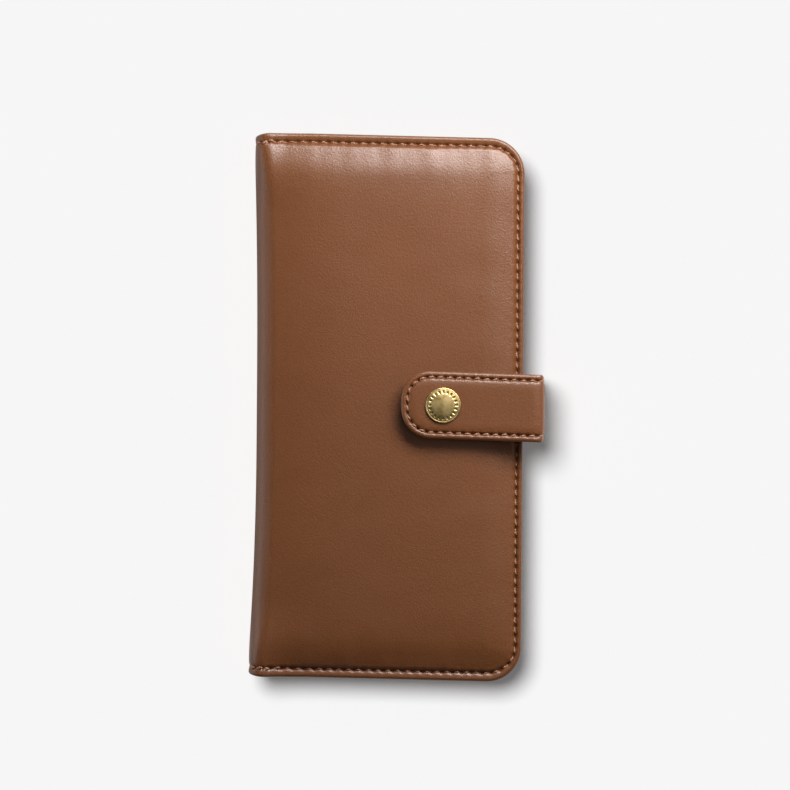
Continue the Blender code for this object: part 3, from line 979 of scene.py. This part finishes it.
def lathe(name, profile, z, segments=96, marks=None, sharp=35):
    """A brass piece turned about the snap's axis. marks lowers its surface by radius and angle."""
    profile = np.array(profile)
    turn = np.linspace(0, 2 * math.pi, segments, endpoint=False)
    radius = profile[:, 0][:, None] + 0 * turn[None]
    height = profile[:, 1][:, None] + 0 * turn[None]
    if marks:
        height = height - marks(radius, turn[None] + 0 * radius)
    points = np.stack([SNAP_X + radius * np.cos(turn), STRAP_Y + radius * np.sin(turn), z + height], -1)
    faces = grid_faces(len(profile), segments, close_columns=True)
    piece = mesh_object(name, points.reshape(-1, 3), faces, BRASS, 0)
    return sharpen(face_outwards(piece, weld=WELD), sharp)


CAP_BASE = CAP_HIGH.z - 1.4 * MM
MARKS = 20
MARK_R = CAP_R - 1.55 * MM
MARK_LONG = 0.52 * MM
MARK_WIDE = 0.34 * MM
MARK_SIDES = 16
CAP_RIM = 0.34 * MM


def cap_marks(radius, turn):
    """Short plain dashes sunk in a ring near the rim."""
    phase = (turn * MARKS / (2 * math.pi) + 0.5) % 1 - 0.5
    across = phase * 2 * math.pi / MARKS * radius
    shape = (across / MARK_WIDE) ** 4 + ((radius - MARK_R) / MARK_LONG) ** 4
    return 0.16 * MM * np.exp(-shape) * (radius > 2 * MM)


def dome_height(r):
    return 0.62 * MM + 0.72 * MM * (1 - (r / CAP_R) ** 2) ** 0.9


def make_snap():
    dome = []
    for r in np.linspace(0, CAP_R - 0.42 * MM, 60):
        dome.append((r, dome_height(r)))
    for turn in np.linspace(math.pi / 2, -math.pi / 2, 13):
        out, up = CAP_RIM * math.cos(turn), CAP_RIM * math.sin(turn)
        dome.append((CAP_R - CAP_RIM + out, 0.46 * MM + up))
    dome += [(CAP_R - 0.9 * MM, 0.1 * MM), (1.5 * MM, 0.1 * MM), (1.5 * MM, -2.7 * MM), (0, -2.7 * MM)]
    cap = lathe("snap_cap_domed", dome, CAP_BASE, 240, cap_marks, 60)
    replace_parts(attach(cap, "strap_top"), "snap_cap")
    vertices, faces = [], []
    for number in range(MARKS):
        angle = number * 2 * math.pi / MARKS
        out = np.array([math.cos(angle), math.sin(angle), 0])
        side = np.array([-math.sin(angle), math.cos(angle), 0])
        level = CAP_BASE + dome_height(MARK_R) - 0.1 * MM
        centre = np.array([SNAP_X, STRAP_Y, level]) + out * MARK_R
        start = len(vertices)
        ring = np.linspace(0, 2 * math.pi, MARK_SIDES, endpoint=False)
        for height in (0.03 * MM, -0.2 * MM):
            for t in ring:
                flat = np.sign(math.cos(t)) * abs(math.cos(t)) ** 0.6
                wide = np.sign(math.sin(t)) * abs(math.sin(t)) ** 0.6
                place = centre + out * flat * MARK_LONG * 0.62 + side * wide * MARK_WIDE * 0.62
                tilt = -flat * MARK_LONG * 0.13
                vertices.append(place + np.array([0, 0, height + tilt]))
        upper = [start + k for k in range(MARK_SIDES)]
        lower = [k + MARK_SIDES for k in upper]
        faces += [upper, lower[::-1]]
        for k in range(MARK_SIDES):
            after = (k + 1) % MARK_SIDES
            faces.append([upper[k], lower[k], lower[after], upper[after]])
    marks = mesh_object("snap_cap_dashes", vertices, faces, PATINA, 40)
    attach(marks, "strap_top")
    make_snap_backs()


def round_over(r, z, radius, turns):
    """Points of a small rounded edge about (r, z), between two angles in degrees."""
    angles = np.radians(np.linspace(*turns, 7))
    return [(r + radius * math.cos(t), z + radius * math.sin(t)) for t in angles]


def make_snap_backs():
    """The socket under the strap, the stud on the cover, and the rivet that holds the stud."""
    low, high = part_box("snap_socket")
    far, deep, fine = (high.x - low.x) / 2, high.z - low.z, 0.14 * MM
    hole = 2.4 * MM
    profile = [(hole, 0), (far - 0.6 * MM, 0)] + round_over(far - 0.3 * MM, -0.3 * MM, 0.3 * MM, (90, 0))
    profile += round_over(far - 0.45 * MM, -deep + 0.45 * MM, 0.45 * MM, (0, -90))
    profile += [(far - 1.1 * MM, -deep), (far - 1.3 * MM, -deep + 0.22 * MM)]
    profile += [(hole + 0.8 * MM, -deep + 0.22 * MM), (hole + 0.62 * MM, -deep)]
    profile += round_over(hole + fine, -deep + fine, fine, (270, 180)) + [(hole, 0)]
    socket = lathe("snap_socket_ring", profile, high.z, 120)
    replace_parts(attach(socket, "strap_top"), "snap_socket")

    low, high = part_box("snap_stud")
    base, tall = (high.x - low.x) / 2, 1.8 * MM
    seat = high.z - tall
    knob = 1.7 * MM
    profile = [(0, tall), (knob * 0.35, tall - 0.02 * MM)]
    profile += round_over(knob - 0.5 * MM, tall - 0.5 * MM, 0.5 * MM, (90, -35))
    profile += round_over(knob + 0.05 * MM, 0.92 * MM, 0.28 * MM, (150, 230))
    profile += [(knob + 0.35 * MM, 0.56 * MM), (base - 1 * MM, 0.6 * MM)]
    profile += round_over(base - 0.3 * MM, 0.3 * MM, 0.3 * MM, (90, -80)) + [(1.2 * MM, 0)]
    profile += [(1.2 * MM, low.z - seat), (0, low.z - seat)]
    stud = lathe("snap_stud_post", profile, seat)
    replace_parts(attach(stud, "front"), "snap_stud")

    low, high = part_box("snap_stud_rivet")
    far, deep = (high.x - low.x) / 2, high.z - low.z
    profile = [(0, 0)] + round_over(far - 0.2 * MM, -0.2 * MM, 0.2 * MM, (90, 0))
    profile += round_over(far - 0.45 * MM, -deep + 0.45 * MM, 0.45 * MM, (0, -90)) + [(0, -deep)]
    rivet = lathe("snap_rivet_disc", profile, high.z)
    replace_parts(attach(rivet, "front"), "snap_stud_rivet")


# ---------------------------------------------------------------- inside the covers

LINING_GAP = 4.2 * MM
LINING_THICK = 0.35 * MM
LINING_CORNER = CORNER - LINING_GAP
LINING_TURN = 2 * MM
LINING_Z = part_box("front_lining")[0].z
SPINE_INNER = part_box("spine_lining")[1].x
LINING_FORE = FORE_X - LINING_GAP
LINING_STRAIGHT = LINING_FORE - SPINE_INNER - LINING_TURN
LINING_ARC = LINING_TURN * math.pi / 2
LINING_RUN = LINING_STRAIGHT + LINING_ARC + LINING_Z - LINING_TURN - MID_Z
POCKET_CORNER = 6 * MM
POCKET_PITCH = 2.6 * MM
POCKET_STITCH = 1.7 * MM
POCKET_STITCH_R = 0.24 * MM


def lining_line(d):
    """The lining's inner face, from beside the opening edge to the middle of the spine."""
    turn = np.clip((d - LINING_STRAIGHT) / LINING_TURN, 0, math.pi / 2)
    down = np.maximum(d - LINING_STRAIGHT - LINING_ARC, 0)
    x = LINING_FORE - np.minimum(d, LINING_STRAIGHT) - LINING_TURN * np.sin(turn)
    z = LINING_Z - LINING_TURN + LINING_TURN * np.cos(turn) - down
    return x, z, -np.sin(turn), np.cos(turn)


def slab(name, top, normals, thick, material, bevel=0.12 * MM, loop=False):
    """A sheet with a real thickness under a grid of points, its rim rounded."""
    top = np.array(top, float)
    rows, columns = top.shape[:2]
    bottom = top - np.array(normals) * thick
    count = rows * columns
    faces = grid_faces(rows, columns, close_columns=loop)
    faces += grid_faces(rows, columns, flip=True, close_columns=loop, offset=count)
    runs = [[j for j in range(columns)], [(rows - 1) * columns + j for j in range(columns)][::-1]]
    if loop:
        runs = [run + run[:1] for run in runs]
    else:
        runs.append([i * columns for i in range(rows)][::-1])
        runs.append([i * columns + columns - 1 for i in range(rows)])
    for run in runs:
        faces += [[p, q, q + count, p + count] for p, q in zip(run, run[1:])]
    points = np.r_[top.reshape(-1, 3), bottom.reshape(-1, 3)]
    obj = face_outwards(mesh_object(name, points, faces, material, 0), bevel=bevel)
    obj.data.shade_smooth()
    return sharpen(obj, 55)


def pull_in(along, across):
    """Share of its distances past a corner's centre that a grid point keeps when the corner is round."""
    shrink = np.maximum(along, across) / np.maximum(np.hypot(along, across), 1e-12)
    return np.where((along > 0) & (across > 0), shrink, 1)


def make_linings():
    d = steps(0, LINING_RUN, 0.8 * MM)
    half = END_Y - LINING_GAP
    y = steps(-half, half, 1.2 * MM)
    dd, yy = np.meshgrid(d, y, indexing="ij")
    along = np.maximum(LINING_CORNER - dd, 0)
    across = np.maximum(np.abs(yy) - (half - LINING_CORNER), 0)
    keep = pull_in(along, across)
    dd, yy = dd + along * (1 - keep), yy - np.sign(yy) * across * (1 - keep)
    x, z, nx, nz = lining_line(dd)
    ripple = 0.12 * MM * waves(dd, yy, 22 * MM, 21) * smooth(dd / (8 * MM))
    spread_y = yy - LEAN * x
    points = np.stack([x - nx * ripple, spread_y, z - nz * ripple], -1)
    normals = np.stack([-nx, 0 * nx, -nz], -1)
    for side in ("front", "back"):
        if side == "back":
            points, normals = mirror_down(points), normals * (1, 1, -1)
        sheet = slab(side + "_inner_lining", points, normals, LINING_THICK, LINING)
        replaced = [side + "_lining"] + (["spine_lining"] if side == "front" else [])
        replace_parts(sheet, *replaced)
        low = np.array([SPINE_INNER, 0, LINING_Z - 1.5 * LINING_TURN])
        high = np.array([SPINE_INNER + 1.5 * LINING_TURN, 0, LINING_Z])
        if side == "back":
            low, high = mirror_down(low), mirror_down(high)
        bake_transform(sheet)


def hem_stitches():
    """The seam's inner side, seen on the turned-in hem of each cover."""
    path = seam_path(END_Y, STRAIGHT - 3 * MM, CORNER, BORDER, BORDER_EDGE)
    centres, directions = along_path(path, PITCH)
    level = TOP_Z - LIP_RISE - FOAM_RISE - 2 * EDGE_ROUND - 0.02 * MM
    places = []
    for (a, y), (da, dy) in zip(centres, directions):
        x = FORE_X - a
        px, py, _ = shape_cover(np.array([x]), np.array([y]), TOP_Z)
        places.append((np.array([px[0], py[0], level]), np.array([-da, dy, 0]), np.array([0, 0, -1])))
    for side in ("front", "back"):
        row = stitch_row(side + "_hem_stitches", turn_to(side, places), sink=0.4 * MM)
        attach(row, side)


def level_normals(points, up):
    normals = np.zeros(points.shape)
    normals[..., 2] = up
    return normals


def round_off(x, y, low, high, radius):
    """Moves a grid's two square corners at high x onto round ones."""
    middle = (low.y + high.y) / 2
    side = np.sign(y - middle)
    along = np.maximum(x - (high.x - radius), 0)
    across = np.maximum(side * (y - middle) - ((high.y - low.y) / 2 - radius), 0)
    keep = pull_in(along, across)
    return x - along * (1 - keep), y - side * across * (1 - keep)


def pocket_sheet(name, node, material, fullness=0.22 * MM, clear_of_hem=False):
    """A flat pocket panel that faces down in its node's box, its middle full and its mouth turned over."""
    low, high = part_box(node)
    if clear_of_hem:
        low, high = low.copy(), high.copy()
        high.x = FORE_X - EDGE_ROUND - HEM - HEM_CLEARANCE
        high.y = END_Y - EDGE_ROUND - HEM - HEM_CLEARANCE
        low.y = -high.y
    x = steps(low.x, high.x, 1.0 * MM)
    y = steps(low.y, high.y, 1.4 * MM)
    xx, yy = np.meshgrid(x, y, indexing="ij")
    u = (xx - low.x) / (high.x - low.x)
    v = (yy - low.y) / (high.y - low.y)
    full = fullness * (4 * v * (1 - v)) ** 0.5 * (1 - u**3) + 0.05 * MM * waves(xx, yy, 30 * MM, 8)
    mouth = xx - low.x
    full = full + 0.22 * MM * (1 - smooth((mouth - 2.2 * MM) / (0.5 * MM)))
    full = full - 0.12 * MM * hump(mouth, 1.6 * MM, 0.3 * MM)
    px = xx + 0.9 * MM * (4 * v * (1 - v)) * (1 - u) ** 3
    px, py = round_off(px, yy, low, high, POCKET_CORNER)
    points = np.stack([px, py - LEAN * xx, low.z - full], -1)
    piece = slab(name, points, level_normals(points, -1), high.z - low.z, material)
    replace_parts(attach(piece, "front"), node)
    return piece, low, high


def straight_stitches(name, runs, level, up, body):
    """Fine stitches along straight runs on a pocket."""
    places = []
    for start, end in runs:
        centres, directions = along_path([start, end], POCKET_PITCH)
        for (x, y), (dx, dy) in zip(centres, directions):
            centre = np.array([x, y - LEAN * x, level])
            places.append((centre, np.array([dx, dy, 0]), np.array([0, 0, up])))
    row = stitch_row(name, places, POCKET_STITCH, POCKET_STITCH_R, 0.1 * MM, 0.4 * MM)
    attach(row, body)
    return row


def make_card_side():
    note, low, high = pocket_sheet("note_pocket_cloth", "note_pocket_panel", LINING, clear_of_hem=True)
    for number in (1, 2, 3, 4):
        node = f"card_pocket_{number}"
        full = 0.06 * MM if number == 4 else 0.22 * MM  # the window lies on the fourth pocket
        piece, low, high = pocket_sheet(node + "_leather", node, POCKET_LEATHER, full)
        inset = 1.3 * MM
        far, turn = high.x - inset, POCKET_CORNER - inset
        runs = [((low.x + 1 * MM, y), (far - turn, y)) for y in (low.y + inset, high.y - inset)]
        runs.append(((far, low.y + POCKET_CORNER), (far, high.y - POCKET_CORNER)))
        if number in (3, 4):
            straight_stitches(node + "_stitches", runs, low.z - 0.05 * MM, -1, "front")
        mouth = [((low.x + 1.7 * MM, low.y + 3 * MM), (low.x + 1.7 * MM, high.y - 3 * MM))]
        straight_stitches(node + "_mouth_stitches", mouth, low.z - 0.3 * MM, -1, "front")
    make_window()


def rounded_loop(x0, x1, y0, y1, radius, count=24):
    """Points round a rectangle with round corners; every loop of one count matches the others."""
    points = []
    for cx, cy, start in (
        (x1 - radius, y1 - radius, 0),
        (x0 + radius, y1 - radius, 0.5),
        (x0 + radius, y0 + radius, 1),
        (x1 - radius, y0 + radius, 1.5),
    ):
        for t in np.linspace(0, 0.5, count // 4 + 1):
            angle = math.pi * (start + t)
            points.append((cx + radius * math.cos(angle), cy + radius * math.sin(angle)))
    return np.array(points)


def make_window():
    """The window pocket: a leather frame round a clear film, with stitches along its opening."""
    low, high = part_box("id_window_frame")
    pane_low, pane_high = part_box("id_window")
    rim_radius = 3 * MM
    outer = rounded_loop(low.x, high.x, low.y, high.y, 1.2 * MM, 48)
    inner = rounded_loop(pane_low.x, pane_high.x, pane_low.y, pane_high.y, rim_radius, 48)
    rings = []
    for share in (0, 0.05, 0.12, 0.25, 0.4, 0.55, 0.7, 0.8, 0.88, 0.95, 1):
        ring = outer * (1 - share) + inner * share
        rise = 0.2 * MM * (1 - (2 * share - 1) ** 4) - 0.12 * MM * math.exp(-(((share - 0.72) / 0.07) ** 2))
        level = np.full(len(ring), low.z - rise)
        rings.append(np.stack([ring[:, 0], ring[:, 1] - LEAN * ring[:, 0], level], -1))
    points = np.array(rings)
    normals = level_normals(points, -1)
    thick = high.z - low.z
    border = slab("window_pocket_frame", points, normals, thick, POCKET_LEATHER, 0.1 * MM, loop=True)
    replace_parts(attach(border, "front"), "id_window_frame")
    inset = 1.4 * MM
    x0, x1, y0, y1 = pane_low.x - inset, pane_high.x + inset, pane_low.y - inset, pane_high.y + inset
    corners = [(x0, y0), (x1, y0), (x1, y1), (x0, y1), (x0, y0)]
    runs = list(zip(corners, corners[1:]))
    straight_stitches("window_pocket_stitches", runs, low.z - 0.12 * MM, -1, "front")
    x = steps(pane_low.x - 1.5 * MM, pane_high.x + 1.5 * MM, 2 * MM)
    y = steps(pane_low.y - 1.5 * MM, pane_high.y + 1.5 * MM, 2 * MM)
    xx, yy = np.meshgrid(x, y, indexing="ij")
    swell = 0.05 * MM * waves(xx, yy, 26 * MM, 14)
    points = np.stack([xx, yy - LEAN * xx, low.z + 0.1 * MM + 0 * xx - swell], -1)
    film = slab("window_pocket_film", points, level_normals(points, -1), 0.15 * MM, FILM, 0.03 * MM)
    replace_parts(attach(film, "front"), "id_window")


def make_phone_pocket():
    """A leather panel with a finger notch, on a cloth gusset folded like a bellows round three sides."""
    low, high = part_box("phone_pocket_panel")
    middle = (low.x + high.x) / 2
    turns = np.linspace(math.pi, 0, 33)
    notch_x = middle + NOTCH_R * np.cos(turns)
    before = steps(low.x, middle - NOTCH_R, 1.2 * MM)
    x = join_lines(before, notch_x, steps(middle + NOTCH_R, high.x, 1.2 * MM))
    depth = np.sqrt(np.clip(NOTCH_R**2 - (x - middle) ** 2, 0, None))
    v = steps(0, 1, 1 / 150)
    xx, vv = np.meshgrid(x, v, indexing="ij")
    end = high.y - depth[:, None]
    yy = low.y + vv * (end - low.y)
    from_mouth = end - yy
    side = np.minimum(xx - low.x, high.x - xx)
    full = 0.3 * MM * smooth(np.minimum(side, yy - low.y) / (14 * MM))
    full += 0.08 * MM * waves(xx, yy, 34 * MM, 17) - 0.14 * MM * hump(from_mouth, 2.4 * MM, 0.35 * MM)
    full -= 0.14 * MM * hump(np.minimum(side, yy - low.y), 2.1 * MM, 0.35 * MM)
    points = np.stack([xx, yy - LEAN * xx, high.z + full], -1)
    normals = level_normals(points, 1)
    panel = slab("phone_pocket_leather", points, normals, high.z - low.z, POCKET_LEATHER, 0.2 * MM)
    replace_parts(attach(panel, "back"), "phone_pocket_panel")
    make_gusset()
    inset = 2.1 * MM
    x0, x1, y0, y1 = low.x + inset, high.x - inset, low.y + inset, high.y - inset
    runs = [((x0, y1), (x0, y0)), ((x0, y0), (x1, y0)), ((x1, y0), (x1, y1))]
    seam = straight_stitches("phone_pocket_stitches", runs, high.z - 0.02 * MM, 1, "back")
    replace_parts(seam, "phone_pocket_thread")


NOTCH_R = 14 * MM
GUSSET_THICK = 0.5 * MM
GUSSET_FOLD = 2.7 * MM


def make_gusset():
    low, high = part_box("phone_pocket_gusset")
    radius = 4 * MM
    inset = 0.75 * MM
    path = [(low.x + inset, high.y - 0.5 * MM)]
    for cx, start in ((low.x + inset + radius, 1.0), (high.x - inset - radius, 1.5)):
        for t in np.linspace(0, 0.5, 9):
            angle = math.pi * (start + t)
            path.append((cx + radius * math.cos(angle), low.y + inset + radius + radius * math.sin(angle)))
    path.append((high.x - inset, high.y - 0.5 * MM))
    centres, directions = along_path(path, 1.1 * MM)
    across = np.stack([directions[:, 1], -directions[:, 0]], 1)
    levels = np.linspace(0, 1, 25)
    fold = GUSSET_FOLD * (1 - np.abs(((levels * 2) % 1) * 2 - 1) ** 1.15) - 0.3 * MM
    rows = []
    for share, out in zip(levels, fold):
        wander = out * (1 + 0.08 * np.sin(np.arange(len(centres)) * 0.35 + share * 5))
        place = centres + across * wander[:, None]
        z = low.z + (high.z - low.z) * share
        rows.append(np.stack([place[:, 0], place[:, 1] - LEAN * place[:, 0], np.full(len(place), z)], -1))
    points = np.array(rows)
    normals = np.repeat(np.c_[across, np.zeros(len(across))][None], len(levels), 0)
    gusset = slab("phone_pocket_bellows", points, normals, GUSSET_THICK, LINING, 0.08 * MM)
    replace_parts(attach(gusset, "back"), "phone_pocket_gusset")


# ---------------------------------------------------------------- floor, light, camera


def make_stage():
    shape = bmesh.new()
    bmesh.ops.create_grid(shape, x_segments=1, y_segments=1, size=3)
    mesh = bpy.data.meshes.new("floor")
    shape.to_mesh(mesh)
    shape.free()
    made, _, shader = nodes_of("pale_floor")
    shader.inputs["Base Color"].default_value = (0.8, 0.8, 0.8, 1)
    shader.inputs["Emission Color"].default_value = (1, 1, 1, 1)
    shader.inputs["Emission Strength"].default_value = 0.125
    shader.inputs["Roughness"].default_value = 0.95
    shader.inputs["Specular IOR Level"].default_value = 0.0
    mesh.materials.append(made)
    floor = bpy.data.objects.new("floor", mesh)
    floor.location = (0, 0, -0.0005)
    bpy.context.scene.collection.objects.link(floor)
    return floor


def aim(obj, direction):
    """Turns a light along a direction and puts it in the scene."""
    obj.rotation_euler = direction.to_track_quat("-Z", "Y").to_euler()
    bpy.context.scene.collection.objects.link(obj)
    return obj


def area_light(name, place, target, size, power, size_y=None):
    light = bpy.data.lights.new(name, "AREA")
    light.energy = power
    light.size = size
    if size_y:
        light.shape = "RECTANGLE"
        light.size_y = size_y
    obj = bpy.data.objects.new(name, light)
    obj.location = place
    return aim(obj, Vector(target) - Vector(place))


def floor_sun():
    """An even light for the floor alone, which gives the case a short soft shadow."""
    light = bpy.data.lights.new("floor_sun", "SUN")
    light.energy = 3.2
    light.angle = math.radians(26)
    obj = bpy.data.objects.new("floor_sun", light)
    return aim(obj, Vector((0.25, -0.31, -1)))


def make_lights(floor):
    world = bpy.data.worlds.new("studio")
    world.use_nodes = True
    background = world.node_tree.nodes["Background"]
    background.inputs["Color"].default_value = (1, 1, 1, 1)
    background.inputs["Strength"].default_value = 0.05
    bpy.context.scene.world = world
    only_floor = bpy.data.collections.new("only_floor")
    only_floor.objects.link(floor)
    floor_sun().light_linking.receiver_collection = only_floor
    not_floor = bpy.data.collections.new("not_floor")
    not_floor.objects.link(floor)
    not_floor.collection_objects[0].light_linking.link_state = "EXCLUDE"
    key = area_light("key", (0.18, 0.31, 0.3), (0, 0, 0.02), 0.42, 4.5, 0.2)
    fill = area_light("fill", (0.34, 0.0, 0.2), (0, 0, 0.02), 0.2, 0.2)
    fill.visible_glossy = False
    shine = area_light("shine", (0.125, 0.37, 0.29), (0, 0, 0.02), 0.36, 1.6, 0.12)
    shine.visible_diffuse = False
    above = area_light("above", (0.25, 0.4, 1.7), (0, 0, 0.02), 1.0, 1.5)
    rim = area_light("rim", (-0.5, 0.0, 0.16), (0, 0, 0.01), 0.5, 0.9, 0.2)
    for light in (key, fill, shine, above, rim):
        light.light_linking.receiver_collection = not_floor
    bpy.context.scene.view_settings.view_transform = "Standard"


def make_camera():
    """Straight above the case, a long lens, turned a little so that the case leans as it lies."""
    data = bpy.data.cameras.new("camera")
    data.sensor_width = 36
    distance = 1.6
    view_width = 0.281
    data.lens = data.sensor_width * (distance - TOP_Z) / view_width
    camera = bpy.data.objects.new("camera", data)
    roll = math.radians(0.42)
    right = Vector((math.cos(roll), math.sin(roll), 0))
    up = Vector((-math.sin(roll), math.cos(roll), 0))
    place = right * 1.9 * MM + up * 4.4 * MM
    camera.location = (place.x, place.y, distance)
    camera.rotation_euler = (0, 0, roll)
    bpy.context.scene.collection.objects.link(camera)
    bpy.context.scene.camera = camera


make_camera()
make_lights(make_stage())
make_covers()
make_strap()
make_snap()
make_linings()
hem_stitches()
make_card_side()
make_phone_pocket()
